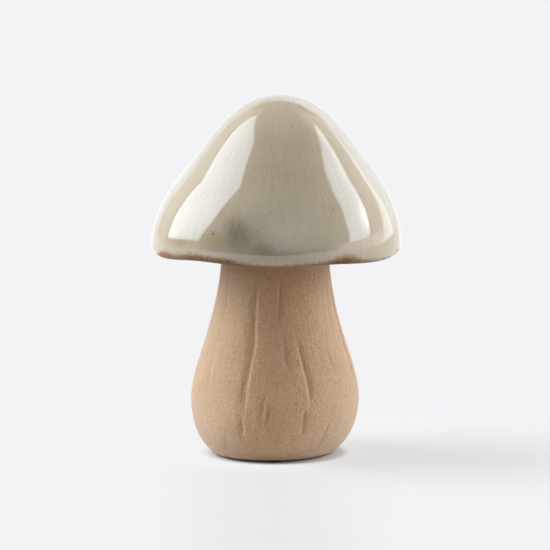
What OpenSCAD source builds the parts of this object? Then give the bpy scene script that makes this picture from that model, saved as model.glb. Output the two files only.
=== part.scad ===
// Ceramic mushroom ornament: a hollow glazed cap bonded onto a hollow stem of bare carved clay.
// Origin at the centre of the base on the table, +Z up, the most wrinkled side of the stem faces -Y.
// Bearings are degrees about Z, from 0 at -Y towards 90 at +X.

/* [Stem] */
// Height of the shoulder, where the stem meets the cap, above the table
stem_top = 102; // [96:0.1:110]
// Radius of the flat ring that the stem stands on
foot_r = 27.8; // [26:0.1:30]
// Rounding of the lower edge of the foot
foot_round = 3.5; // [2:0.1:4.5]
// Flare of the clay above the foot, in degrees from upright
foot_flare = 49; // [42:1:52]
// Radius of the belly
belly_r = 40.2; // [38:0.1:43]
// Height of the belly above the table
belly_h = 26.4; // [24:0.1:32]
// Radius of the neck at the shoulder
neck_r = 25.2; // [24:0.1:28]
// Length of nearly straight neck below the shoulder
neck_run = 40.3; // [34:0.1:44]
// Thickness of the stem wall
stem_wall = 5; // [4:0.1:6]
// Thickness of the clay between the standing ring and the hollow
base_wall = 6; // [5:0.1:8]
// Depth of the deepest wrinkle
wrinkle_depth = 1; // [0.2:0.05:1.2]

/* [Underside] */
// Radius of the recess inside the standing ring
recess_r = 15; // [12:0.1:16]
// Depth of the recess
recess_depth = 2; // [1:0.1:3]
// Diameter of the kiln vent through the base
vent_d = 3; // [2:0.1:3.8]
// Diameter of a felt pad
pad_d = 9; // [6:0.1:9.5]
// Thickness of a felt pad
pad_h = 1; // [0.6:0.1:2]

/* [Joint between stem and cap] */
// Radius of the spigot on top of the stem
spigot_r = 17; // [15:0.1:19]
// Height of the spigot above the shoulder
spigot_h = 12; // [9:0.1:16]
// Wall of the spigot round its bore
spigot_wall = 5; // [4:0.1:6]
// Gap round the spigot, which the adhesive fills
socket_gap = 0.6; // [0.4:0.05:1]
// Thickness of the adhesive between the shoulder and the cap
bond_t = 0.6; // [0.4:0.05:1]
// Distance from the edge of the neck in to the edge of the adhesive
bond_inset = 2.5; // [1.5:0.1:3]
// Clearance left between the adhesive and the round walls it fills
bond_clear = 0.05; // [0.02:0.01:0.1]

/* [Cap] */
// Radius of the cap at its widest
cap_r = 59.6; // [57:0.1:64]
// Height of the apex above the rim
cap_h = 74.9; // [70:0.1:80]
// Half width of the rounded crown
crown_r = 20.2; // [17:0.1:24]
// Distance that the knee, where cone turns to skirt, lies inside the widest radius
knee_inset = 13.3; // [11:0.1:15]
// Height of the knee above the rim
knee_h = 37.1; // [34:0.1:40]
// Slope of the cone above the knee, in degrees from level
knee_slope = 52.2; // [48:0.1:56]
// Height of the widest line above the rim
lip_h = 4.6; // [4:0.1:7]
// Distance that the lip rolls in below the widest line
lip_roll = 3.8; // [3:0.1:6]
// Height of the seat round the socket above the rim
seat_rise = 5.2; // [4:0.1:8]
// Thickness of the cap wall
cap_wall = 5; // [4:0.1:6]
// Thickness of the cap floor above the seat
cap_floor = 5; // [4:0.1:6]
// Height of the waves along the hand trimmed rim
rim_wave = 1.6; // [0:0.1:2]
// Sideways lean of the crown towards +X
cap_lean = 1.4; // [0:0.1:2]
// Sideways offset of the whole cap on the stem, towards +X
cap_shift = 0.4; // [0:0.1:0.8]

/* [Hidden] */
$fn = 96;

// Facets of the two skins: columns round the axis and steps along each stretch of the outline
stem_columns = 192;
cap_columns = 84;
foot_steps = 3;
lower_steps = 6;
upper_steps = 13;
crown_steps = 10;
skirt_steps = 9;
lip_steps = 4;
floor_steps = 6;
inner_steps = 12;

pad_count = 4;
cut = 1;
// Ledge of the seat outside the neck, and the bevel left at the ends of a hollow's curved side
seat_margin = 2;
hollow_bevel = 1;
floor_bevel = 3;

// Heights of the joint and of the cap, stacked up from the table
base_z = pad_h;
seat_z = stem_top + bond_t;
rim_z = seat_z - seat_rise;
apex_z = rim_z + cap_h;
socket_r = spigot_r + socket_gap;
spigot_bore_r = spigot_r - spigot_wall;
seat_r = neck_r + seat_margin;
pad_ring_r = (recess_r + foot_r) / 2;

// Handles that set how full the curves of the two outlines are
foot_pull = 13.1;
belly_pull_low = 3;
belly_pull_high = 18.3;
neck_splay = 1.2;
cone_pull = 29.9;
skirt_pull = 12.4;
knee_pull = 10;
soffit_pull = 14;

// Wrinkles in the stem: bearing and height at the top, bearing and height at the bottom,
// side that is scooped out (1 towards greater bearings), share of the full depth, width of the scoop
WRINKLES = [
    [-16, 90, -20, 25, -1, 1.0, 3],
    [-22, 27, -22, 10, -1, 0.8, 2.2],
    [4, 92, 2, 62, 1, 0.6, 2],
    [3, 68, 7, 46, 1, 0.4, 2],
    [18, 62, 24, 26, 1, 0.9, 2.2],
    [19, 29, 20, 12, 1, 0.8, 1.8],
    [-7, 38, -8, 18, -1, 0.7, 1.8],
    [40, 22, 36, 3, 1, 0.6, 1.8],
    [-56, 94, -55, 27, -1, 0.5, 2.6],
    [-68, 25, -67, 9, -1, 0.5, 2],
    [65, 91, 56, 58, 1, 0.4, 2.4],
    [42, 56, 49, 39, 1, 0.4, 2.2],
    [82, 84, 78, 33, -1, 0.8, 3],
    [88, 30, 92, 12, 1, 0.6, 2],
    [104, 94, 109, 55, 1, 0.5, 2.4],
    [118, 60, 125, 22, 1, 0.9, 2.4],
    [134, 90, 131, 48, -1, 0.6, 2.6],
    [143, 42, 147, 9, 1, 0.6, 2],
    [160, 82, 156, 26, -1, 1.0, 3],
    [171, 40, 173, 14, 1, 0.6, 2],
    [186, 95, 182, 50, 1, 0.5, 2.4],
    [201, 62, 207, 24, 1, 0.9, 2.6],
    [214, 30, 212, 7, -1, 0.6, 2],
    [224, 90, 230, 40, -1, 0.8, 2.8],
    [247, 72, 243, 18, 1, 0.9, 2.6],
    [262, 93, 267, 52, -1, 0.5, 2.4],
    [272, 46, 268, 14, 1, 0.6, 2],
];
// Width of the steep side of a wrinkle as a share of its scoop, and the length over which its ends run out
wrinkle_edge = 0.8;
wrinkle_fade = 9;

// Swells of the rim: bearing, half width in degrees, share of the full wave
RIM_SWELLS = [
    [-75, 24, -0.43], [-40, 20, 1.0], [-12, 18, 0.36], [25, 20, 0.68], [62, 22, -0.36],
    [118, 26, 0.5], [172, 30, -0.4], [-130, 24, 0.5],
];
// Height over which the waves of the rim die away up the skirt
wave_reach = 24;

// Slow swellings of a hand formed body: size as a share of the radius, lobes, bearing of a crest
STEM_LOBES = [[0.004, 2, 45], [0.004, 3, 0]];
CAP_LOBES = [[0.003, 2, 45], [0.003, 3, 0]];
// Oval foot: size as a share of the radius, bearing of its long axis, sideways shift, height it fades over
foot_oval = 0.044;
foot_axis = -45;
foot_shift = -0.5;
foot_fade = 33;
// Height above the rim at which the lean is complete
lean_reach = 50;

function ramp(x) = x <= 0 ? 0 : x >= 1 ? 1 : x * x * (3 - 2 * x);
function bezier(p, t) =
    pow(1 - t, 3) * p[0] + 3 * pow(1 - t, 2) * t * p[1] + 3 * (1 - t) * t * t * p[2] + pow(t, 3) * p[3];
function curve(p, n, first = 0, last = 0) = [for (i = [first:n - last]) bezier(p, i / n)];
function polar(r, bearing, z) = [r * sin(bearing), -r * cos(bearing), z];
function turn(a, b) = let (d = (a - b) % 360) d > 180 ? d - 360 : d < -180 ? d + 360 : d;
function lobes(list, bearing) =
    let (s = [for (l = list) l[0] * cos(l[1] * (bearing - l[2]))]) 1 + s * [for (i = s) 1];

// Outline moved sideways by d, to the left of its direction
function inset(p, d) = [for (i = [1:len(p) - 2])
    let (v = p[i + 1] - p[i - 1], u = v / norm(v)) p[i] + d * [-u[1], u[0]]];

// Outline of the stem from the standing ring up to the shoulder, as radius and height
foot_end = [foot_r + foot_round * sin(90 - foot_flare), base_z + foot_round * (1 - cos(90 - foot_flare))];
LOWER = [
    foot_end,
    foot_end + foot_pull * [sin(foot_flare), cos(foot_flare)],
    [belly_r, belly_h - belly_pull_low],
    [belly_r, belly_h],
];
UPPER = [
    [belly_r, belly_h],
    [belly_r, belly_h + belly_pull_high],
    [neck_r + neck_splay, stem_top - neck_run],
    [neck_r, stem_top],
];
function foot_arc() = [for (i = [0:foot_steps]) let (a = (90 - foot_flare) * i / foot_steps)
    [foot_r + foot_round * sin(a), base_z + foot_round * (1 - cos(a))]];
function stem_outline() = concat(foot_arc(), curve(LOWER, lower_steps, 1), curve(UPPER, upper_steps, 1));

// Outline of the cap from the seat round the socket, out over the lip and up to the crown
knee = [cap_r - knee_inset, rim_z + knee_h];
down_slope = [cos(knee_slope), -sin(knee_slope)];
CONE = [
    knee,
    knee - cone_pull * down_slope,
    [crown_r, apex_z],
    [0, apex_z],
];
SKIRT = [
    [cap_r, rim_z + lip_h],
    [cap_r, rim_z + lip_h + skirt_pull],
    knee + knee_pull * down_slope,
    knee,
];
SOFFIT = [
    [seat_r, seat_z],
    [seat_r + soffit_pull, seat_z],
    [cap_r - lip_roll - soffit_pull, rim_z],
    [cap_r - lip_roll, rim_z],
];
function lip_arc() = [for (i = [1:lip_steps]) let (a = 90 * i / lip_steps)
    [cap_r - lip_roll + lip_roll * sin(a), rim_z + lip_h * (1 - cos(a))]];
function cap_outline() = concat(
    curve(SOFFIT, floor_steps), lip_arc(), curve(SKIRT, skirt_steps, 1), curve(CONE, crown_steps, 1, 1));

// Depth of all wrinkles at one bearing and height, where the stem has radius r
function wrinkle(w, bearing, z, r) =
    let (at = (z - w[3]) / (w[1] - w[3]))
    let (across = w[4] * turn(bearing, w[2] + at * (w[0] - w[2])) * PI / 180 * r)
    z < w[3] || z > w[1] || abs(across) > 3 * w[6] ? 0 :
    w[5] * ramp((z - w[3]) / wrinkle_fade) * ramp((w[1] - z) / wrinkle_fade)
        * ramp(across / (wrinkle_edge * w[6]) + 0.5) * exp(-pow(across / w[6], 2));
function carved(bearing, z, r) =
    let (d = [for (w = WRINKLES) wrinkle(w, bearing, z, r)]) wrinkle_depth * d * [for (i = d) 1];

// Lift of the rim at one bearing, fading up the skirt and in towards the seat
function rim_lift(bearing, r, z) =
    let (s = [for (w = RIM_SWELLS) w[2] * exp(-pow(turn(bearing, w[0]) / w[1], 2))])
    rim_wave * (s * [for (i = s) 1]) * ramp((rim_z + wave_reach - z) / wave_reach)
        * ramp((r - seat_r) / (cap_r - lip_roll - seat_r));
function lean(z) = cap_shift + cap_lean * ramp((z - rim_z) / lean_reach);

// One ring of points round the stem and round the cap, at one step of the outline
function stem_ring(p) =
    let (low = ramp((foot_fade - p[1]) / (foot_fade - base_z)))
    [for (i = [0:stem_columns - 1])
        let (b = 360 * i / stem_columns)
        let (r = p[0] * lobes(STEM_LOBES, b) * (1 + low * foot_oval * cos(2 * (b - foot_axis))))
        polar(r - carved(b, p[1], p[0]), b, p[1]) + [low * foot_shift, 0, 0]];
function cap_ring(p) = [for (i = [0:cap_columns - 1]) let (b = 360 * i / cap_columns)
    polar(p[0] * lobes(CAP_LOBES, b), b, p[1] + rim_lift(b, p[0], p[1])) + [lean(p[1]), 0, 0]];

// Joins rings of points, listed in the order of the outline, into one closed skin
module skin(rings, closed_top) {
    n = len(rings[0]);
    m = len(rings);
    points = [for (ring = rings) each ring];
    sides = [for (i = [0:m - 2], j = [0:n - 1]) let (a = i * n + j, b = i * n + (j + 1) % n)
        each [[a, a + n, b], [b, a + n, b + n]]];
    bottom = [[for (j = [0:n - 1]) j]];
    flat_top = [[for (j = [0:n - 1]) m * n - 1 - j]];
    peak = [for (j = [0:n - 1]) [m * n, (m - 1) * n + (j + 1) % n, (m - 1) * n + j]];
    polyhedron(
        points = concat(points, closed_top ? [[lean(apex_z), 0, apex_z]] : []),
        faces = concat(sides, bottom, closed_top ? peak : flat_top));
}

// Space inside the stem: the outline less the wall, drawn in below the shoulder to the bore
module stem_hollow() {
    floor_z = base_z + base_wall;
    wall = inset(concat(curve(LOWER, inner_steps), curve(UPPER, inner_steps, 1)), stem_wall);
    draw_in = neck_r - stem_wall - spigot_bore_r;
    draw_z = stem_top - stem_wall - draw_in;
    side = [for (p = wall) if (p[1] > floor_z + hollow_bevel && p[1] < draw_z - hollow_bevel) p];
    rotate_extrude() polygon(concat(
        [[0, floor_z], [side[0][0] - hollow_bevel, floor_z]], side,
        [[neck_r - stem_wall, draw_z], [spigot_bore_r, stem_top - stem_wall],
         [spigot_bore_r, stem_top + spigot_h + cut], [0, stem_top + spigot_h + cut]]));
}

module stem() {
    color("#c9a688") difference() {
        union() {
            skin([for (p = stem_outline()) stem_ring(p)], false);
            translate([0, 0, stem_top - stem_wall]) cylinder(r = spigot_r, h = stem_wall + spigot_h);
        }
        stem_hollow();
        translate([0, 0, base_z - cut]) cylinder(r = recess_r, h = recess_depth + cut);
        translate([0, 0, base_z]) cylinder(d = vent_d, h = base_wall + cut);
    }
}

// Space inside the cap: the outline less the wall, over a floor that follows the soffit
module cap_hollow() {
    wall = inset(concat(curve(SKIRT, inner_steps), curve(CONE, inner_steps, 1)), cap_wall);
    floor_line = [for (p = curve(SOFFIT, floor_steps)) p + [0, cap_floor]];
    floor_side = [for (p = floor_line) if (p[0] < cap_r - cap_wall - floor_bevel) p];
    rotate_extrude() polygon(concat(
        [[0, seat_z + cap_floor]], floor_side, wall, [[0, apex_z - cap_wall]]));
}

module cap() {
    color("#c4bfae") difference() {
        skin([for (p = cap_outline()) cap_ring(p)], true);
        cap_hollow();
        translate([0, 0, seat_z - cut]) cylinder(r = socket_r, h = cap_floor + 2 * cut);
    }
}

// Adhesive: a washer on the shoulder and a sleeve that fills the gap round the spigot
module bond_ring() {
    color("#8d8478") difference() {
        union() {
            translate([0, 0, stem_top]) cylinder(r = neck_r - bond_inset, h = bond_t);
            translate([0, 0, stem_top]) cylinder(r = socket_r - bond_clear, h = bond_t + cap_floor);
        }
        translate([0, 0, stem_top - cut])
            cylinder(r = spigot_r + bond_clear, h = bond_t + cap_floor + 2 * cut);
    }
}

module felt_pad(i) {
    color("#3b3733") rotate([0, 0, 360 / pad_count * i]) translate([pad_ring_r, 0, 0])
        cylinder(d = pad_d, h = pad_h);
}

stem();
cap();
bond_ring();
felt_pad(0);  // felt_pad_1
felt_pad(1);  // felt_pad_2
felt_pad(2);  // felt_pad_3
felt_pad(3);  // felt_pad_4
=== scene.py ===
"""Ceramic mushroom ornament: a glazed cap on a stem of bare carved clay, on a white studio table."""
import math

import bpy
import numpy as np
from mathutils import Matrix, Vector


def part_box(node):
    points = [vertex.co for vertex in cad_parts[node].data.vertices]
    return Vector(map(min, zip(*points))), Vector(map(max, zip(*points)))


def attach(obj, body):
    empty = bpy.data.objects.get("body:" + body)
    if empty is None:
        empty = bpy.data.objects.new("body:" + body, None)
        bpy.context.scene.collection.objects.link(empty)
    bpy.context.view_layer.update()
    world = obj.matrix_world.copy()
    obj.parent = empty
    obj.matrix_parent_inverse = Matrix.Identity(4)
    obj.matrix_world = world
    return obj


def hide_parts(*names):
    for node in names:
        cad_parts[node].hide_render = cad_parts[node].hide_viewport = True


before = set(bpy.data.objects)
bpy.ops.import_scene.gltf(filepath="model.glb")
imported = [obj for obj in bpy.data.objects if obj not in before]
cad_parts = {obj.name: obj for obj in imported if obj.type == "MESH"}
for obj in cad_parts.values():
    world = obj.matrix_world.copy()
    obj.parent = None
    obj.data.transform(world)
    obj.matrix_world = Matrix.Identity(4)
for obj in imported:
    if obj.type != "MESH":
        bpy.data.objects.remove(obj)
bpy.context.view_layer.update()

MM = 0.001
STEM_COLUMNS = 460
CAP_COLUMNS = 360

# Levels of the object, read from the frame, in millimetres
base_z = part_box("felt_pad_1")[1][2] / MM
shoulder_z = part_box("bond_ring")[0][2] / MM
spigot_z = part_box("stem")[1][2] / MM
apex_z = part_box("cap")[1][2] / MM

# Sizes of the stem, in millimetres and degrees, as in the construction
FOOT_R = 27.8
FOOT_ROUND = 3.5
FOOT_FLARE = 49
FOOT_PULL = 13.1
BELLY_R = 40.2
BELLY_H = 26.4
BELLY_PULL_LOW = 3
BELLY_PULL_HIGH = 18.3
NECK_R = 25.2
NECK_RUN = 40.3
NECK_SPLAY = 1.2
FOOT_OVAL = 0.044
FOOT_AXIS = -45
FOOT_SHIFT = -0.5
FOOT_FADE = 33
STEM_WALL = 5
BASE_WALL = 6
WRINKLE_DEPTH = 1.0
RECESS_R = 15
RECESS_DEPTH = 2
RECESS_CORNER = 0.4
RECESS_EDGE = 0.5
VENT_R = 1.5
SPIGOT_R = 17
SPIGOT_WALL = 5
SPIGOT_EDGE = 0.6
SOCKET_GAP = 0.6
BOND_T = 0.6

# Sizes of the cap, in millimetres and degrees
CAP_R = 59.6
CAP_H = 74.9
CROWN_R = 20.2
CONE_PULL = 29.9
KNEE_INSET = 13.3
KNEE_H = 37.1
KNEE_SLOPE = 52.2
SKIRT_PULL = 12.4
KNEE_PULL = 10
LIP_H = 4.6
LIP_ROLL = 3.8
SOFFIT_PULL = 14
SEAT_R = NECK_R + 2
CAP_WALL = 5
CAP_FLOOR = 5
RIM_WAVE = 1.6
WAVE_REACH = 24
CAP_LEAN = 1.4
CAP_SHIFT = 0.4
LEAN_REACH = 50
# Waves of the glaze, then the radius near the apex and height of the lip within which they fade out
GLAZE_LONG_WAVES = 0.10
GLAZE_SHORT_WAVES = 0.03
GLAZE_FADE_R = 22
LIP_FADE = 5

seat_z = shoulder_z + BOND_T
rim_z = apex_z - CAP_H

# Wrinkles in the stem: bearing and height at the top, bearing and height at the bottom,
# side that is scooped out (1 towards greater bearings), share of the full depth, width of the scoop
WRINKLES = [
    (-16, 90, -20, 25, -1, 1.0, 3),
    (-22, 27, -22, 10, -1, 0.8, 2.2),
    (4, 92, 2, 62, 1, 0.6, 2),
    (3, 68, 7, 46, 1, 0.4, 2),
    (18, 62, 24, 26, 1, 0.9, 2.2),
    (19, 29, 20, 12, 1, 0.8, 1.8),
    (-7, 38, -8, 18, -1, 0.7, 1.8),
    (40, 22, 36, 3, 1, 0.6, 1.8),
    (-56, 94, -55, 27, -1, 0.5, 2.6),
    (-68, 25, -67, 9, -1, 0.5, 2),
    (65, 91, 56, 58, 1, 0.4, 2.4),
    (42, 56, 49, 39, 1, 0.4, 2.2),
    (82, 84, 78, 33, -1, 0.8, 3),
    (88, 30, 92, 12, 1, 0.6, 2),
    (104, 94, 109, 55, 1, 0.5, 2.4),
    (118, 60, 125, 22, 1, 0.9, 2.4),
    (134, 90, 131, 48, -1, 0.6, 2.6),
    (143, 42, 147, 9, 1, 0.6, 2),
    (160, 82, 156, 26, -1, 1.0, 3),
    (171, 40, 173, 14, 1, 0.6, 2),
    (186, 95, 182, 50, 1, 0.5, 2.4),
    (201, 62, 207, 24, 1, 0.9, 2.6),
    (214, 30, 212, 7, -1, 0.6, 2),
    (224, 90, 230, 40, -1, 0.8, 2.8),
    (247, 72, 243, 18, 1, 0.9, 2.6),
    (262, 93, 267, 52, -1, 0.5, 2.4),
    (272, 46, 268, 14, 1, 0.6, 2),
]
# Steep side as a share of the scoop's width, and length over which each end runs out
WRINKLE_EDGE = 0.8
WRINKLE_FADE = 9
# Sideways sway of a wrinkle and the height per radian of it
SWAY = 0.5
SWAY_RUN = 7.0

# Cuts and scratches too fine for the construction, listed in the same way
CUTS = [
    (-4, 30, -7, 20, 1, 0.9, 0.9),
    (-33, 18, -40, 4, -1, 0.35, 1.2),
    (-11, 18, -12, 5, -1, 0.35, 1.0),
    (1, 18, 1, 5, 1, 0.3, 1.0),
    (12, 18, 13, 5, 1, 0.3, 1.0),
    (-30, 54, -34, 44, -1, 0.35, 1.1),
    (-30, 83, -32, 75, -1, 0.3, 1.0),
    (45, 92, 41, 82, 1, 0.35, 1.1),
    (6, 54, 9, 45, 1, 0.4, 1.0),
    (12, 64, 12, 56, 1, 0.4, 0.9),
    (47, 22, 46, 12, 1, 0.3, 1.1),
    (19, 28, 20, 14, 1, 0.5, 1.3),
    (39, 20, 37, 6, 1, 0.3, 1.2),
    (4, 88, 3, 76, 1, 0.3, 1.3),
]
CUT_FADE = 3
# Length below the shoulder that still shows the lines of throwing, and length over which they fade
NECK_LINES = 24
NECK_LINES_FADE = 8

# Pits of the clay: bearing, height, radius, depth, and negative depth for a crumb that stands out
PITS = [
    (-8, 56.5, 0.43, 0.34), (-7, 55.5, 0.36, -0.26), (-6, 57, 0.36, 0.26), (10, 53, 0.43, 0.34),
    (-3, 45, 0.43, 0.34), (-1, 42, 0.43, -0.3), (-2, 41, 0.36, 0.26), (-8, 40, 0.43, -0.3),
    (-10, 34, 0.5, -0.3), (-11, 33, 0.43, 0.34), (21, 74, 0.36, 0.3), (7, 51, 0.36, 0.3),
    (33, 63, 0.36, 0.26), (-47, 27, 0.43, 0.26), (-36, 24, 0.5, 0.34), (-16, 25, 0.36, 0.26),
    (-4, 18, 0.58, 0.42), (-35, 13, 0.43, 0.26), (-29, 10, 0.36, 0.26), (-10, 16, 0.36, 0.26),
    (47, 19, 0.36, 0.26), (47, 17, 0.36, 0.26),
]
STRAY_PITS = 150
# Ranges of the stray ones: bearing, height, radius, depth
STRAY_RANGES = [(0, 360), (5, 96), (0.25, 0.42), (-0.15, 0.3)]

# How far the hand, the scraper, the grain and the lines of throwing stand out, in millimetres
HAND_RELIEF = 0.12
SCRAPED_RELIEF = 0.07
GRAIN_RELIEF = 0.06
THROWN_RELIEF = 0.06
# Height above the foot where the relief begins, and lengths over which it fades there and at the shoulder
RELIEF_START = 1
RELIEF_FADE_LOW = 4
RELIEF_FADE_HIGH = 3

# Swells of the rim: bearing, half width in degrees, share of the wave
RIM_SWELLS = [(-75, 24, -0.43), (-40, 20, 1.0), (-12, 18, 0.36), (25, 20, 0.68), (62, 22, -0.36),
              (118, 26, 0.5), (172, 30, -0.4), (-130, 24, 0.5)]
# Swells on the skin of the cap: bearing, height above the rim, half width in degrees, half height, rise
CAP_SWELLS = [(24, 44, 8, 6, 0.22), (45, 54, 8, 5, 0.12), (-33, 40, 8, 7, 0.08)]

# Brown break of the glaze up the lip: usual reach and raggedness in millimetres, then bearing, half width
# and extra reach
BREAK_REACH = 3.4
BREAK_RAGGED = 5.0
BREAKS = [(-64, 9, 3.2), (-40, 12, 3.0), (-23, 7, 2.2), (14, 8, 0.4), (34, 9, 4.0), (54, 8, 0.4),
          (78, 5, 2.4), (110, 20, 1.5), (160, 25, 2.4), (-150, 20, 1.8), (-105, 14, 1.4)]
# The same for how dark it turns by the lowest line of the lip: partly the glaze's own dark break, partly
# painted shade where the rim turns under
BREAK_SHADE = 0.45
BREAK_SHADES = [(-37, 14, 0.35), (-20, 8, 0.3), (2, 10, -0.35), (33, 9, 0.5), (55, 10, -0.2), (160, 25, 0.4)]
# Clouds in the glaze, one pale and one dark patch of them painted light and shade: colour, strength, then
# bearing, height above the rim, half width, half height, share
CLOUDS = {
    # Pale clouds in the glaze; the first, low on the front of the skirt, is painted light from the table in
    # front
    "milk_and_light": ((0.62, 0.54, 0.40, 1), 0.6, [
        (5, 14, 26, 9, 1.0), (5, 27, 22, 10, 0.4), (-120, 25, 25, 14, 0.5), (150, 30, 25, 14, 0.5)]),
    # Dark smoke in the glaze; the last patch, across the middle of the front, is painted shade standing in
    # for the dark room the glaze reflects there
    "smoke_and_shade": ((0.18, 0.14, 0.095, 1), 0.85, [
        (-18, 14, 8, 7, 0.8), (-21, 20, 6, 5, 0.35), (-6, 9, 5, 3, 0.6), (3, 7, 9, 2.5, 0.25),
        (-32, 9, 7, 3, 0.2), (6, 40, 22, 9, 0.18)]),
    "olive": ((0.37, 0.24, 0.105, 1), 0.8, [
        (-52, 10, 9, 3.5, 0.8), (-30, 12, 8, 4, 0.6), (150, 12, 20, 5, 0.5)]),
    "blush": ((0.41, 0.29, 0.205, 1), 0.7, [
        (-4, 68, 9, 14, 0.6), (-8, 9, 6, 7, 0.5), (20, 60, 10, 12, 0.3), (170, 40, 20, 20, 0.4)]),
}
# Specks of iron in the glaze: bearing, height above the rim, half width, half height
SPECKS = [(-31, 15.6, 0.8, 0.9), (-26, 19.3, 0.5, 0.5), (-9, 17.5, 0.5, 0.4), (-3, 26, 0.3, 1.2),
          (14, 63, 0.35, 0.7), (25, 12.7, 0.4, 0.8), (29, 26.5, 0.5, 0.6), (-43, 5.9, 0.5, 0.5),
          (-51, 4.9, 0.6, 0.5), (2, 46.7, 0.3, 0.4), (42, 65.3, 0.3, 0.5), (-63, 48.2, 0.3, 0.4),
          (100, 30, 0.5, 0.6), (140, 18, 0.6, 0.6), (190, 40, 0.5, 0.7)]

# Colours
CLAY_TONES = (0.65, 0.372, 0.168, 1), (0.75, 0.445, 0.21, 1)
CLAY_GRAIN = (0.36, 0.195, 0.088, 1)
CLAY_SAND = (0.30, 0.16, 0.072, 1)
CLAY_SCRAPED = (0.74, 0.48, 0.265, 1)
# Painted shade: darker colour laid into the wrinkles and cuts, growing with their depth
CLAY_GROOVE_SHADE = (0.42, 0.235, 0.115, 1)
# Painted shade: dark colour laid into the pits, growing with their depth
CLAY_PIT_SHADE = (0.17, 0.09, 0.045, 1)
CLAY_CRUMB = (0.70, 0.50, 0.33, 1)
SOFFIT_TONES = (0.33, 0.18, 0.085, 1), (0.47, 0.28, 0.145, 1)
GLAZE_TONES = (0.493, 0.393, 0.266, 1), (0.54, 0.436, 0.3, 1)
GLAZE_STREAK = (0.42, 0.325, 0.23, 1)
GLAZE_GRAIN = (0.33, 0.26, 0.175, 1)
GLAZE_BROWN = (0.36, 0.175, 0.075, 1)
# Near-black brown at the lip's lowest line: partly the glaze's break, partly painted shade
GLAZE_BREAK_SHADE = (0.13, 0.06, 0.036, 1)
GLAZE_SPECK = (0.19, 0.10, 0.045, 1)
FELT_TONES = (0.02, 0.018, 0.016, 1), (0.06, 0.055, 0.05, 1)
ADHESIVE_TONES = (0.28, 0.22, 0.17, 1), (0.36, 0.30, 0.24, 1)
# Height of the finest relief, in metres
CLAY_BUMP = 0.0006
FINE_BUMP = 0.0002

# Lobes that keep an outline from being quite round: share of the radius, how many, bearing of one crest
STEM_LOBES = [(0.004, 2, 45), (0.004, 3, 0)]
CAP_LOBES = [(0.003, 2, 45), (0.003, 3, 0)]


def bezier(points, steps, first=0):
    """Points along a cubic curve, from step first to the end."""
    p = np.array(points, float)
    t = np.linspace(0, 1, steps + 1)[first:, None]
    return (1 - t) ** 3 * p[0] + 3 * (1 - t) ** 2 * t * p[1] + 3 * (1 - t) * t ** 2 * p[2] + t ** 3 * p[3]


def line(a, b, steps):
    """Points from a to b, without a itself."""
    t = np.linspace(0, 1, steps + 1)[1:, None]
    return np.array(a, float) * (1 - t) + np.array(b, float) * t


def arc(centre, radii, start, end, steps, first=0):
    """Points on an ellipse in the outline's plane; angles from level, in degrees."""
    a = np.radians(np.linspace(start, end, steps + 1)[first:])
    return np.stack([centre[0] + radii[0] * np.cos(a), centre[1] + radii[1] * np.sin(a)], 1)


def inset(points, distance):
    """The outline moved sideways, to the left of its direction, without its two ends."""
    v = points[2:] - points[:-2]
    v /= np.linalg.norm(v, axis=1)[:, None]
    return points[1:-1] + distance * np.stack([-v[:, 1], v[:, 0]], 1)


def ramp(x):
    """Smooth step from 0 to 1."""
    x = np.clip(x, 0, 1)
    return x * x * (3 - 2 * x)


def turn(a, b):
    """Smallest turn from bearing b to bearing a, in degrees."""
    return (a - b + 180) % 360 - 180


def lobes(lobe_list, bearing):
    """Factor on the radius at each bearing."""
    return 1 + sum(size * np.cos(np.radians(n * (bearing - crest))) for size, n, crest in lobe_list)


# Outlines as (radius, height)
flare = math.radians(FOOT_FLARE)
foot_end = np.array([FOOT_R + FOOT_ROUND * math.cos(flare), base_z + FOOT_ROUND * (1 - math.sin(flare))])
stem_lower = [foot_end, foot_end + FOOT_PULL * np.array([math.sin(flare), math.cos(flare)]),
              (BELLY_R, BELLY_H - BELLY_PULL_LOW), (BELLY_R, BELLY_H)]
stem_upper = [(BELLY_R, BELLY_H), (BELLY_R, BELLY_H + BELLY_PULL_HIGH),
              (NECK_R + NECK_SPLAY, shoulder_z - NECK_RUN), (NECK_R, shoulder_z)]
knee = np.array([CAP_R - KNEE_INSET, rim_z + KNEE_H])
slope = np.array([math.cos(math.radians(KNEE_SLOPE)), -math.sin(math.radians(KNEE_SLOPE))])
cap_cone = [knee, knee - CONE_PULL * slope, (CROWN_R, apex_z), (0, apex_z)]
cap_skirt = [(CAP_R, rim_z + LIP_H), (CAP_R, rim_z + LIP_H + SKIRT_PULL), knee + KNEE_PULL * slope, knee]
SKIN = np.vstack([bezier(cap_skirt, 30), bezier(cap_cone, 30, 1)])
cap_soffit = [(SEAT_R, seat_z), (SEAT_R + SOFFIT_PULL, seat_z),
              (CAP_R - LIP_ROLL - SOFFIT_PULL, rim_z), (CAP_R - LIP_ROLL, rim_z)]


def scoops(marks, fade, bearing, z, r):
    """Depth of all marks of one list, as a share of the full depth."""
    depth = np.zeros_like(r)
    for top, z_top, foot, z_foot, side, share, width in marks:
        at = (z - z_foot) / (z_top - z_foot)
        sway = SWAY * np.sin(z / SWAY_RUN + top)
        across = side * (turn(bearing, foot + at * (top - foot)) * math.pi / 180 * r + sway)
        ends = ramp((z - z_foot) / fade) * ramp((z_top - z) / fade)
        wall = ramp(across / (WRINKLE_EDGE * width) + 0.5)
        depth += share * ends * wall * np.exp(-(across / width) ** 2)
    return depth


def pits(bearing, z, r):
    """Depth of the pits, in millimetres: the listed ones and strays all round."""
    rng = np.random.default_rng(11)
    strays = np.stack([rng.uniform(low, high, STRAY_PITS) for low, high in STRAY_RANGES], 1)
    depth = np.zeros_like(r)
    for at, height, radius, deep in PITS + strays.tolist():
        across = turn(bearing, at) * math.pi / 180 * r
        depth += deep * np.exp(-(across ** 2 + (z - height) ** 2) / radius ** 2)
    return depth


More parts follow.
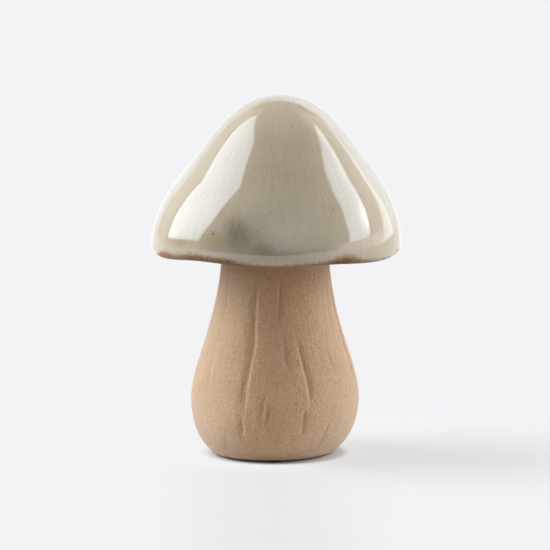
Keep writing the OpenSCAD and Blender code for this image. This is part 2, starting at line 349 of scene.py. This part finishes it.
def field(bearing, z, across, along, seed, around=BELLY_R):
    """Smooth random field between -1 and 1, with cells across by along millimetres at radius around."""
    columns = round(2 * math.pi * around / across)
    low = z.min()
    table = np.random.default_rng(seed).uniform(-1, 1, (int((z.max() - low) / along) + 3, columns))
    u = bearing % 360 / 360 * columns
    v = (z - low) / along
    i = np.floor(v).astype(int)
    j = np.floor(u).astype(int)
    x, y = ramp(u - j), ramp(v - i)
    lower = table[i, j % columns] * (1 - x) + table[i, (j + 1) % columns] * x
    upper = table[i + 1, j % columns] * (1 - x) + table[i + 1, (j + 1) % columns] * x
    return lower * (1 - y) + upper * y


def clay_relief(bearing, z):
    """What fingers, scraper and wheel left on the bare clay, outward in millimetres.

    Each field has its cells across and along in millimetres, then its seed.
    """
    hand = field(bearing, z, 15, 22, 1) + 0.5 * field(bearing, z, 6, 11, 2)
    scraped = field(bearing, z, 1.5, 10, 3) + 0.7 * field(bearing, z, 2.8, 15, 4)
    worked = ramp(0.5 + field(bearing, z, 12, 16, 5))
    grain = field(bearing, z, 1.2, 1.3, 6)
    rings = field(bearing, z, 30, 1.6, 7) * ramp((z - shoulder_z + NECK_LINES) / NECK_LINES_FADE)
    return (HAND_RELIEF * hand + SCRAPED_RELIEF * scraped * worked + GRAIN_RELIEF * grain
            + THROWN_RELIEF * rings)


def rim_lift(bearing, r, z):
    """Rise of the cap's skin where the rim waves, in millimetres."""
    wave = sum(share * np.exp(-(turn(bearing, at) / width) ** 2) for at, width, share in RIM_SWELLS)
    return (RIM_WAVE * wave * ramp((rim_z + WAVE_REACH - z) / WAVE_REACH)
            * ramp((r - SEAT_R) / (CAP_R - LIP_ROLL - SEAT_R)))


def lean(z):
    """Sideways shift of the cap's outside at a height, in millimetres."""
    return CAP_SHIFT + CAP_LEAN * ramp((z - rim_z) / LEAN_REACH)


def loft(name, points, closed_loop, poles=()):
    """Mesh from rows of points round the axis. poles are end points that close the first and last row."""
    rows, columns = points.shape[:2]
    verts = points.reshape(-1, 3) * MM
    i = np.arange(rows if closed_loop else rows - 1)[:, None]
    j = np.arange(columns)[None, :]
    up = (i + 1) % rows
    right = (j + 1) % columns
    quads = np.stack([i * columns + j, i * columns + right, up * columns + right, up * columns + j], -1)
    faces = quads.reshape(-1, 4).tolist()
    for k, pole in enumerate(poles):
        row = (rows - 1) * columns * k
        verts = np.vstack([verts, np.array(pole)[None] * MM])
        ring = [(row + a, row + (a + 1) % columns) for a in range(columns)]
        tip = rows * columns + k
        faces += [(tip, b, a) if k == 0 else (tip, a, b) for a, b in ring]
    mesh = bpy.data.meshes.new(name)
    mesh.from_pydata(verts.tolist(), [], faces)
    mesh.polygons.foreach_set("use_smooth", [True] * len(mesh.polygons))
    mesh.update()
    piece = bpy.data.objects.new(name, mesh)
    bpy.context.collection.objects.link(piece)
    return piece


def store(piece, name, values):
    """Keeps one number per vertex for the materials."""
    layer = piece.data.attributes.new(name, "FLOAT", "POINT")
    layer.data.foreach_set("value", np.asarray(values, np.float32))


def store_vector(piece, name, values):
    layer = piece.data.attributes.new(name, "FLOAT_VECTOR", "POINT")
    layer.data.foreach_set("vector", np.asarray(values, np.float32).ravel())


def grid(outline, columns):
    """Radius, height and bearing of every point of an outline turned round the axis."""
    bearing = np.linspace(0, 360, columns, endpoint=False)[None, :]
    r = np.repeat(outline[:, :1], columns, 1)
    z = np.repeat(outline[:, 1:], columns, 1)
    return r, z, np.repeat(bearing, len(outline), 0)


def place(r, bearing, z):
    """Points from radius, bearing and height; bearing 0 is the front, and it grows to the right."""
    b = np.radians(bearing)
    return np.stack([r * np.sin(b), -r * np.cos(b), z], -1)


def stem_piece():
    """The whole hollow stem as one closed loft: outside, spigot, bore, hollow, vent and recess."""
    outside = np.vstack([
        arc((FOOT_R, base_z + FOOT_ROUND), (FOOT_ROUND, FOOT_ROUND), -90, -FOOT_FLARE, 6),
        bezier(stem_lower, 54, 1),
        bezier(stem_upper, 120, 1),
    ])
    bore_r = SPIGOT_R - SPIGOT_WALL
    floor_z = base_z + BASE_WALL
    recess_z = base_z + RECESS_DEPTH
    hollow = inset(np.vstack([bezier(stem_lower, 12), bezier(stem_upper, 12, 1)]), STEM_WALL)[::-1]
    draw_z = shoulder_z - STEM_WALL - (NECK_R - STEM_WALL - bore_r)
    hollow = hollow[(hollow[:, 1] > floor_z + 1) & (hollow[:, 1] < draw_z - 1)]
    inside = np.vstack([
        line((NECK_R, shoulder_z), (SPIGOT_R, shoulder_z), 3),
        [(SPIGOT_R, spigot_z - SPIGOT_EDGE), (SPIGOT_R - SPIGOT_EDGE, spigot_z)],
        [(bore_r + SPIGOT_EDGE, spigot_z), (bore_r, spigot_z - SPIGOT_EDGE)],
        [(bore_r, shoulder_z - STEM_WALL), (NECK_R - STEM_WALL, draw_z)],
        hollow,
        [(hollow[-1, 0] - 1, floor_z), (VENT_R, floor_z)],
        [(VENT_R, recess_z)],
        [(RECESS_R - RECESS_CORNER, recess_z), (RECESS_R, recess_z - RECESS_CORNER)],
        [(RECESS_R, base_z + RECESS_EDGE), (RECESS_R + RECESS_EDGE, base_z)],
        line((RECESS_R + RECESS_EDGE, base_z), (FOOT_R, base_z), 4)[:-1],
    ])
    r, z, b = grid(np.vstack([outside, inside]), STEM_COLUMNS)
    n = len(outside)
    carved, scoop, pit, low = np.zeros((4, *r.shape))
    wrinkles = scoops(WRINKLES, WRINKLE_FADE, b[:n], z[:n], r[:n])
    scoop[:n] = wrinkles + scoops(CUTS, CUT_FADE, b[:n], z[:n], r[:n])
    pit[:n] = pits(b[:n], z[:n], r[:n])
    fade = (ramp((z[:n] - base_z - RELIEF_START) / RELIEF_FADE_LOW)
            * ramp((shoulder_z - z[:n]) / RELIEF_FADE_HIGH))
    carved[:n] = WRINKLE_DEPTH * scoop[:n] + fade * (pit[:n] - clay_relief(b[:n], z[:n]))
    low[:n] = ramp((FOOT_FADE - z[:n]) / (FOOT_FADE - base_z))
    r[:n] *= lobes(STEM_LOBES, b[:n])
    r *= 1 + low * FOOT_OVAL * np.cos(np.radians(2 * (b - FOOT_AXIS)))
    points = place(r - carved, b, z)
    points[..., 0] += low * FOOT_SHIFT
    piece = loft("carved_stem", points, closed_loop=True)
    store(piece, "scoop", np.clip(scoop, 0, 1).ravel())
    store(piece, "pit", pit.ravel())
    store_vector(piece, "run", place(BELLY_R, b, z))
    return piece


def glaze_relief(bearing, height):
    """Slow unevenness of the glazed surface, outward in millimetres."""
    long_waves = GLAZE_LONG_WAVES * field(bearing, height, 22, 16, 21, CAP_R)
    short_waves = GLAZE_SHORT_WAVES * field(bearing, height, 8, 7, 22, CAP_R)
    return long_waves + short_waves + sum(
        out * np.exp(-(turn(bearing, at) / wide) ** 2 - ((height - middle) / tall) ** 2)
        for at, middle, wide, tall, out in CAP_SWELLS)


def cap_piece():
    """The whole hollow cap as one closed skin, from the outer apex round the rim to the inner apex."""
    outside = np.vstack([
        bezier(cap_cone[::-1], 84, 1),
        bezier(cap_skirt[::-1], 60, 1),
        arc((CAP_R - LIP_ROLL, rim_z + LIP_H), (LIP_ROLL, LIP_H), 0, -90, 16, 1),
        bezier(cap_soffit[::-1], 36, 1),
        line((SEAT_R, seat_z), (SPIGOT_R + SOCKET_GAP, seat_z), 4),
    ])
    wall = inset(np.vstack([bezier(cap_skirt, 12), bezier(cap_cone, 12, 1)]), CAP_WALL)
    floor = bezier(cap_soffit, 6) + (0, CAP_FLOOR)
    inside = np.vstack([
        [(SPIGOT_R + SOCKET_GAP, seat_z + CAP_FLOOR)],
        floor[floor[:, 0] < CAP_R - CAP_WALL - 3],
        wall[wall[:, 0] > 1],
    ])
    outline = np.vstack([outside, inside])
    r, z, b = grid(outline, CAP_COLUMNS)
    n = len(outside)
    lifted = z.copy()
    lifted[:n] += rim_lift(b[:n], r[:n], z[:n])
    points = place(r * lobes(CAP_LOBES, b), b, lifted)
    points[:n, :, 0] += lean(z[:n])
    high = z[:n] - rim_z
    fade = ramp(r[:n] / GLAZE_FADE_R) * ramp(high / LIP_FADE)
    points[:n] += place(glaze_relief(b[:n], high) * fade, b[:n], 0 * z[:n])
    piece = loft("glazed_cap", points, closed_loop=False,
                 poles=[(lean(apex_z), 0, apex_z), (0, 0, apex_z - CAP_WALL)])

    # Distance along the skin from the lowest line of the lip, positive up the outside
    steps = np.linalg.norm(np.diff(outline, axis=0), axis=1)
    along = np.concatenate([[0], np.cumsum(steps)])
    lowest = int(np.argmax(outline[:, 1] == outline[:n, 1].min()))
    edge = np.repeat((along[lowest] - along)[:, None], CAP_COLUMNS, 1)
    store(piece, "edge", np.append(edge.ravel(), [edge[0, 0], edge[-1, 0]]))
    run = place(CAP_R, b, edge).reshape(-1, 3)
    store_vector(piece, "run", np.vstack([run, [0, 0, edge[0, 0]], [0, 0, edge[-1, 0]]]))
    for name, usual, swells in (("reach", BREAK_REACH, BREAKS), ("break_shade", BREAK_SHADE, BREAK_SHADES)):
        level = usual + sum(extra * np.exp(-(turn(b, at) / width) ** 2) for at, width, extra in swells)
        store(piece, name, np.append(level.ravel(), [usual, usual]))
    above = z - rim_z
    arc_length = np.radians(r)
    for name, (_, _, marks) in CLOUDS.items():
        cloud = sum(share * np.exp(-(turn(b, at) * arc_length / width) ** 2 - ((above - height) / tall) ** 2)
                    for at, height, width, tall, share in marks)
        store(piece, name, np.append(cloud.ravel(), [0, 0]))
    return piece


class Shader:
    """Short names for building one node material."""

    def __init__(self, name):
        self.material = bpy.data.materials.new(name)
        self.material.use_nodes = True
        self.tree = self.material.node_tree
        self.tree.nodes.clear()
        self.out = self.tree.nodes.new("ShaderNodeOutputMaterial")

    def node(self, kind, inputs=None, **settings):
        n = self.tree.nodes.new(kind)
        for key, value in settings.items():
            setattr(n, key, value)
        for key, value in (inputs or {}).items():
            self.set(n.inputs[key], value)
        return n

    def set(self, socket, value):
        if isinstance(value, bpy.types.NodeSocket):
            self.tree.links.new(value, socket)
        else:
            socket.default_value = value

    def math(self, operation, a, b=0.0, clamp=False):
        n = self.node("ShaderNodeMath", operation=operation, use_clamp=clamp)
        self.set(n.inputs[0], a)
        self.set(n.inputs[1], b)
        return n.outputs[0]

    def mix(self, factor, a, b):
        n = self.node("ShaderNodeMix", data_type="RGBA")
        self.set(n.inputs[0], factor)
        self.set(n.inputs[6], a)
        self.set(n.inputs[7], b)
        return n.outputs[2]

    def between(self, value, low, high, start=0.0, end=1.0):
        """value mapped from low..high to start..end, clamped and smooth."""
        inputs = {"Value": value, "From Min": low, "From Max": high, "To Min": start, "To Max": end}
        return self.node("ShaderNodeMapRange", inputs, interpolation_type="SMOOTHSTEP").outputs[0]

    def position(self):
        return self.node("ShaderNodeTexCoord").outputs["Object"]

    def attribute(self, name, vector=False):
        return self.node("ShaderNodeAttribute", attribute_name=name).outputs["Vector" if vector else "Fac"]

    def scaled(self, vector, scale):
        return self.node("ShaderNodeMapping", {"Vector": vector, "Scale": scale}).outputs[0]

    def noise(self, vector, scale, detail, rough):
        inputs = {"Vector": vector, "Scale": scale, "Detail": detail, "Roughness": rough}
        return self.node("ShaderNodeTexNoise", inputs).outputs[0]

    def bump(self, height, distance):
        """Normal of a fine relief; distance in metres."""
        inputs = {"Height": height, "Distance": distance, "Strength": 1.0}
        return self.node("ShaderNodeBump", inputs).outputs[0]

    def finish(self, **inputs):
        shader = self.node("ShaderNodeBsdfPrincipled", {k.replace("_", " "): v for k, v in inputs.items()})
        self.tree.links.new(shader.outputs[0], self.out.inputs[0])
        return self.material


def clay_material():
    """Bare, sandy, fired clay, with painted shade in its grooves and pits."""
    s = Shader("bare_clay")
    where = s.position()
    run = s.attribute("run", vector=True)
    scoop = s.attribute("scoop")
    pit = s.attribute("pit")
    cloud = s.noise(where, 28, 4, 0.6)
    grain = s.noise(where, 1400, 3, 0.6)
    sand = s.noise(where, 3000, 2, 0.6)
    scrape = s.noise(s.scaled(run, (1, 1, 0.14)), 0.9, 3, 0.6)
    tone = s.mix(s.between(cloud, 0.3, 0.7), *CLAY_TONES)
    tone = s.mix(s.between(grain, 0.35, 0.75, 0, 0.7), tone, CLAY_GRAIN)
    tone = s.mix(s.between(sand, 0.4, 0.65, 0, 0.65), tone, CLAY_SAND)
    tone = s.mix(s.between(scrape, 0.35, 0.7, 0, 0.12), tone, CLAY_SCRAPED)
    # Painted shade in the grooves, darkest where they are deepest
    tone = s.mix(s.math("MULTIPLY", scoop, 0.3), tone, CLAY_GROOVE_SHADE)
    # Painted shade in the pits
    tone = s.mix(s.between(pit, 0.08, 0.3, 0, 0.5), tone, CLAY_PIT_SHADE)
    tone = s.mix(s.between(pit, -0.25, -0.08, 0.5, 0), tone, CLAY_CRUMB)
    height = s.math("ADD", s.math("ADD", s.math("MULTIPLY", grain, 1.2), s.math("MULTIPLY", sand, 0.6)),
                    s.math("MULTIPLY", scrape, 0.5))
    return s.finish(Base_Color=tone, Roughness=0.72, Specular_IOR_Level=0.6, Normal=s.bump(height, CLAY_BUMP),
                    Sheen_Weight=0.35, Sheen_Roughness=0.5)


def glaze_material():
    """Glossy cream glaze that breaks to brown at the rim, darkened by painted shade where the rim turns
    under, over bare clay on the underside.
    """
    s = Shader("glaze")
    where = s.position()
    edge = s.attribute("edge")
    reach = s.attribute("reach")
    run = s.attribute("run", vector=True)
    streak = s.noise(s.scaled(run, (1, 1, 0.06)), 0.9, 3, 0.6)
    mottle = s.noise(s.scaled(run, (1, 1, 0.5)), 0.35, 4, 0.65)
    cloud = s.noise(where, 30, 3, 0.5)
    tone = s.mix(s.between(cloud, 0.3, 0.7), *GLAZE_TONES)
    tone = s.mix(s.between(streak, 0.35, 0.7, 0, 0.4), tone, GLAZE_STREAK)
    tone = s.mix(s.between(s.noise(where, 1500, 3, 0.6), 0.4, 0.75, 0, 0.4), tone, GLAZE_GRAIN)
    # Clouds of colour in the glaze; the pale one low on the front is painted light, and the last dark one
    # across the middle of the front is painted shade
    for name, (colour, strength, _) in CLOUDS.items():
        patch = s.math("MULTIPLY", s.attribute(name), s.between(mottle, 0.25, 0.7, 0.65, 1.15))
        tone = s.mix(s.math("MULTIPLY", patch, strength, clamp=True), tone, colour)
    rough = s.math("MULTIPLY", s.math("SUBTRACT", s.noise(run, 0.5, 4, 0.7), 0.5), BREAK_RAGGED)
    broken = s.math("DIVIDE", s.math("ADD", edge, rough), reach)
    brown = s.between(broken, 0.7, 1.15, 1, 0)
    tone = s.mix(s.math("MULTIPLY", brown, 0.85), tone, GLAZE_BROWN)
    # Darkest next to the lowest line of the lip: painted shade where the rim turns under, over the glaze's
    # dark break
    break_shade_mask = s.math("MULTIPLY", s.between(broken, 0.35, 0.95, 1, 0), s.attribute("break_shade"), clamp=True)
    tone = s.mix(break_shade_mask, tone, GLAZE_BREAK_SHADE)
    for bearing, height, wide, tall in SPECKS:
        tone = s.mix(speck(s, where, bearing, height, wide, tall), tone, GLAZE_SPECK)
    bare = s.between(edge, 0.2, 1.0, 1, 0)
    clay = s.mix(s.noise(where, 900, 3, 0.6), *SOFFIT_TONES)
    tone = s.mix(bare, tone, clay)
    dry = s.math("MAXIMUM", bare, s.math("MULTIPLY", brown, 0.5))
    return s.finish(Base_Color=tone, Roughness=s.between(dry, 0, 1, 0.05, 0.85), IOR=1.41,
                    Specular_IOR_Level=s.between(brown, 0, 1, 0.5, 0.12))


def speck(s, where, bearing, height, wide, tall):
    """1 in a small soft oval on the skin of the cap, else 0."""
    r = np.interp(rim_z + height, SKIN[:, 1], SKIN[:, 0])
    centre = place(r, bearing, rim_z + height) + (lean(rim_z + height), 0, 0)
    apart = s.node("ShaderNodeVectorMath", {0: where, 1: tuple(centre * MM)}, operation="SUBTRACT").outputs[0]
    size = (1 / (wide * MM), 1 / (wide * MM), 1 / (tall * MM))
    far = s.node("ShaderNodeVectorMath", {0: s.scaled(apart, size)}, operation="LENGTH").outputs["Value"]
    return s.between(far, 0.3, 1.3, 0.75, 0)


def felt_material():
    s = Shader("felt")
    fluff = s.noise(s.position(), 2500, 3, 0.7)
    tone = s.mix(fluff, *FELT_TONES)
    return s.finish(Base_Color=tone, Roughness=0.95, Normal=s.bump(fluff, FINE_BUMP))


def adhesive_material():
    s = Shader("adhesive")
    lump = s.noise(s.position(), 400, 2, 0.5)
    tone = s.mix(lump, *ADHESIVE_TONES)
    return s.finish(Base_Color=tone, Roughness=0.6, Normal=s.bump(lump, FINE_BUMP))


def dress(piece, material):
    """Gives a new piece or a node of the frame its material."""
    for slot in piece.material_slots:
        slot.material = material
    if not piece.material_slots:
        piece.data.materials.append(material)


def build():
    stem = stem_piece()
    dress(stem, clay_material())
    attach(stem, "root")
    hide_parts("stem")
    cap = cap_piece()
    dress(cap, glaze_material())
    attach(cap, "root")
    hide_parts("cap")
    felt = felt_material()
    for name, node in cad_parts.items():
        if name.startswith("felt_pad"):
            dress(node, felt)
    dress(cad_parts["bond_ring"], adhesive_material())


# Studio. Lights are far away and lie on the sky: bearings from 0 towards the camera, positive to the right,
# and heights above the horizon, all in degrees. Brightness 1 is a white sheet.
SHEET = (0.896, 0.896, 0.912, 1)
FLOOR_R = 3.0
SOFTBOXES = [
    # left and right edge as bearing at mid height and turn per degree of height, lower edge as height at the
    # inner corner and rise per degree of bearing, highest, brightness, bulb (bearing, height, width, gain)
    (-124, -0.06, -76, 0.16, 12, 0.18, 60, 7.2, (-90, 32, 18, 0.36)),
    (79, 0.26, 111, 0.53, 8, 0, 48, 7.3, (103, 20, 8, 1.2)),
]
LAMP_TINT = (0.88, 1.0, 1.13)
BOX_MIDDLE = 30
PATCHES = [
    # bearings from and to, heights from and to, softness, brightness: window in front, glow low on either
    # side, wall on either side, ceiling
    (-8, 34, 3, 40, 9, 1.4),
    (-126, -64, -10, 12, 3, 0.8),
    (60, 117, -10, 8, 3, 3.0),
    (-146, -126, -5, 60, 1.5, 0.8),
    (106, 140, -5, 60, 1.5, 1.6),
    (-200, 200, 72, 100, 1.5, 0.75),
]
# Backdrop: bearing of each edge at the horizon, its turn per degree of height and the brightness there
BACKDROP_LEFT = (-146, 0, 1.3)
BACKDROP_RIGHT = (117, 0.8, 2.3)
# Brightness straight behind, degrees over which it fades to that, height and softness of its top
BACKDROP_MIDDLE = 0.9
BACKDROP_FADE = 60
BACKDROP_TOP = 40
TOP_SOFT = 4
ROOM = 0.02
EDGE_SOFT = 1.5
# What the glaze reflects of the table in front of the ornament
TABLE_SHINE = 2.6
# How much of the light the table throws back: in front of the ornament, beside it, far out, and as seen
TABLE_FRONT = (0.6, 0.6, 0.6, 1)
TABLE_SIDE = (0.92, 0.92, 0.92, 1)
TABLE_FAR = (0.08, 0.08, 0.08, 1)
TABLE_SEEN = (0.58, 0.545, 0.51, 1)
BLACK = (0, 0, 0, 1)
# Distances on the table, in metres: from the axis, beside it, or in depth with negative towards the camera
SIDE_START, SIDE_FULL = 0.02, 0.1
NEAR_END, FAR_START = 0.06, 0.3
SHINE_END, SHINE_HALF = -0.25, 0.05
FOOT_EDGE, EVEN_START = 0.029, 0.037
EVEN_SHARE = 0.96
# A faint painted shadow on the even white in front of the ornament: its strength and half width, then the
# depths over which it fades
FRONT_SHADE, FRONT_SHADE_HALF = 0.08, 0.07
FRONT_SHADE_START, FRONT_SHADE_END = -0.06, -0.03
SIDE_SHADE, SIDE_SHADE_START = 0.34, 0.04
SIDE_SHADE_NEAR, SIDE_SHADE_FAR = 0.05, 0.3

# Camera, in metres; the lens in millimetres on a 36 mm sensor
CAMERA_AT = (-0.0001, -2.6, 0.4810)
CAMERA_TARGET = (-0.0001, 0, 0.08596)
CAMERA_LENS = 360


def square(name, half):
    mesh = bpy.data.meshes.new(name)
    corners = [(-half, -half, 0), (half, -half, 0), (half, half, 0), (-half, half, 0)]
    mesh.from_pydata(corners, [], [(0, 1, 2, 3)])
    o = bpy.data.objects.new(name, mesh)
    bpy.context.collection.objects.link(o)
    return o


def floor_material():
    """White table that takes the shadow of the foot and turns to an even white farther out, in metres; the
    even white carries a faint painted shadow in front of the ornament.
    """
    s = Shader("floor")
    where = s.node("ShaderNodeNewGeometry").outputs["Position"]
    x, y, _ = s.node("ShaderNodeSeparateXYZ", {0: where}).outputs
    reach = s.node("ShaderNodeVectorMath", {0: where}, operation="LENGTH").outputs["Value"]
    path = s.node("ShaderNodeLightPath")
    aside = s.math("ABSOLUTE", x)
    sheet = s.mix(s.between(aside, SIDE_START, SIDE_FULL), TABLE_FRONT, TABLE_SIDE)
    sheet = s.mix(s.between(reach, NEAR_END, FAR_START), sheet, TABLE_FAR)
    sheet = s.mix(path.outputs["Is Camera Ray"], sheet, TABLE_SEEN)
    table = s.node("ShaderNodeBsdfDiffuse", {"Color": sheet}).outputs[0]
    # Painted shadow: the glowing white is darkened a little just in front of the ornament
    across = s.between(aside, 0.0, FRONT_SHADE_HALF, 1, 0)
    dim = s.math("MULTIPLY", across, s.between(y, FRONT_SHADE_START, FRONT_SHADE_END, FRONT_SHADE, 0))
    shine = s.between(y, SHINE_END, SHINE_HALF, TABLE_SHINE, TABLE_SHINE / 2)
    seen = s.mix(path.outputs["Is Glossy Ray"], s.mix(dim, SHEET, BLACK),
                 s.node("ShaderNodeCombineColor", {0: shine, 1: shine, 2: shine}).outputs[0])
    glow = s.node("ShaderNodeEmission", {"Color": seen}).outputs[0]
    fading = s.between(reach, SIDE_SHADE_NEAR, SIDE_SHADE_FAR, SIDE_SHADE, 0)
    shade = s.math("MULTIPLY", s.between(x, 0.0, SIDE_SHADE_START), fading)
    even = s.math("SUBTRACT", s.between(reach, FOOT_EDGE, EVEN_START, 0, EVEN_SHARE), shade)
    shown = s.math("MAXIMUM", path.outputs["Is Camera Ray"], path.outputs["Is Glossy Ray"])
    blend = s.node("ShaderNodeMixShader", {0: s.math("MULTIPLY", even, shown), 1: table, 2: glow}).outputs[0]
    s.tree.links.new(blend, s.out.inputs[0])
    return s.material


class Sky(Shader):
    """The world's nodes, with the short names of a material."""

    def __init__(self, name):
        world = bpy.data.worlds.new(name)
        bpy.context.scene.world = world
        world.use_nodes = True
        self.tree = world.node_tree
        self.tree.nodes.clear()
        self.out = self.node("ShaderNodeOutputWorld")
        part = self.node("ShaderNodeSeparateXYZ", {0: self.node("ShaderNodeTexCoord").outputs["Generated"]})
        x, y, z = part.outputs
        degrees = 180 / math.pi
        self.bearing = self.math("MULTIPLY", self.math("ARCTAN2", x, self.math("MULTIPLY", y, -1.0)), degrees)
        self.height = self.math("MULTIPLY", self.math("ARCSINE", z), degrees)

    def within(self, value, low, high, soft):
        """1 between low and high, with soft edges."""
        enter = self.between(value, low - soft, low + soft)
        leave = self.between(value, high - soft, high + soft, 1, 0)
        return self.math("MULTIPLY", enter, leave)

    def softbox(self, left, left_turn, right, right_turn, low, low_rise, high, brightness, bulb):
        """A lit cloth with leaning edges and a brighter spot where its bulb is."""
        rise = self.math("SUBTRACT", self.height, BOX_MIDDLE)
        past_left = self.math("SUBTRACT", self.bearing, self.math("MULTIPLY", rise, left_turn))
        before_right = self.math("SUBTRACT", self.bearing, self.math("MULTIPLY", rise, right_turn))
        cloth = self.math("MULTIPLY", self.between(past_left, left - EDGE_SOFT, left + EDGE_SOFT),
                          self.between(before_right, right - EDGE_SOFT, right + EDGE_SOFT, 1, 0))
        sill = self.math("MULTIPLY", self.math("SUBTRACT", self.bearing, right), low_rise)
        above = self.math("SUBTRACT", self.height, sill)
        cloth = self.math("MULTIPLY", cloth, self.between(above, low - EDGE_SOFT, low + EDGE_SOFT))
        below = self.between(self.height, high - EDGE_SOFT, high + EDGE_SOFT, 1, 0)
        cloth = self.math("MULTIPLY", cloth, below)
        across = self.math("POWER", self.math("SUBTRACT", self.bearing, bulb[0]), 2.0)
        up = self.math("POWER", self.math("SUBTRACT", self.height, bulb[1]), 2.0)
        near = self.math("MULTIPLY", self.math("ADD", across, up), -1.0 / bulb[2] ** 2)
        hot = self.math("MULTIPLY", self.math("POWER", math.e, near), bulb[3] * brightness)
        return self.math("MULTIPLY", cloth, self.math("ADD", brightness, hot))


def sky():
    """All the light, as one world; the camera itself sees only an even white sheet."""
    s = Sky("studio")
    behind = 0.0
    for (edge, lean_out, brightness), way in ((BACKDROP_LEFT, -1), (BACKDROP_RIGHT, 1)):
        edge = s.math("ADD", s.math("MULTIPLY", s.height, lean_out), edge)
        past = s.math("MULTIPLY", s.math("SUBTRACT", s.bearing, edge), way)
        level = s.between(past, 0, BACKDROP_FADE, brightness, BACKDROP_MIDDLE)
        behind = s.math("ADD", behind, s.math("MULTIPLY", s.between(past, -EDGE_SOFT, EDGE_SOFT), level))
    below_top = s.between(s.height, BACKDROP_TOP - TOP_SOFT, BACKDROP_TOP + TOP_SOFT, 1, 0)
    lamps = s.math("ADD", s.softbox(*SOFTBOXES[0]), s.softbox(*SOFTBOXES[1]))
    lamps = s.math("ADD", lamps, s.math("MULTIPLY", behind, below_top))
    room = ROOM
    for left, right, low, high, soft, brightness in PATCHES:
        across = s.within(s.bearing, left, right, soft)
        patch = s.math("MULTIPLY", across, s.within(s.height, low, high, soft))
        room = s.math("MAXIMUM", room, s.math("MULTIPLY", patch, brightness))
    light = {i: s.math("ADD", room, s.math("MULTIPLY", lamps, tint)) for i, tint in enumerate(LAMP_TINT)}
    seen = s.node("ShaderNodeLightPath").outputs["Is Camera Ray"]
    level = s.mix(seen, s.node("ShaderNodeCombineColor", light).outputs[0], SHEET)
    back = s.node("ShaderNodeBackground", {"Color": level})
    s.tree.links.new(back.outputs[0], s.out.inputs[0])


def studio():
    floor = square("floor", FLOOR_R)
    dress(floor, floor_material())
    sky()


def camera():
    """Long lens from slightly above, as in the photograph."""
    lens = bpy.data.cameras.new("camera")
    lens.sensor_width = 36
    lens.lens = CAMERA_LENS
    lens.clip_end = 20
    o = bpy.data.objects.new("camera", lens)
    o.location = CAMERA_AT
    o.rotation_euler = (Vector(CAMERA_TARGET) - o.location).to_track_quat("-Z", "Y").to_euler()
    bpy.context.collection.objects.link(o)
    bpy.context.scene.camera = o


build()
studio()
camera()
bpy.context.scene.view_settings.view_transform = "Standard"
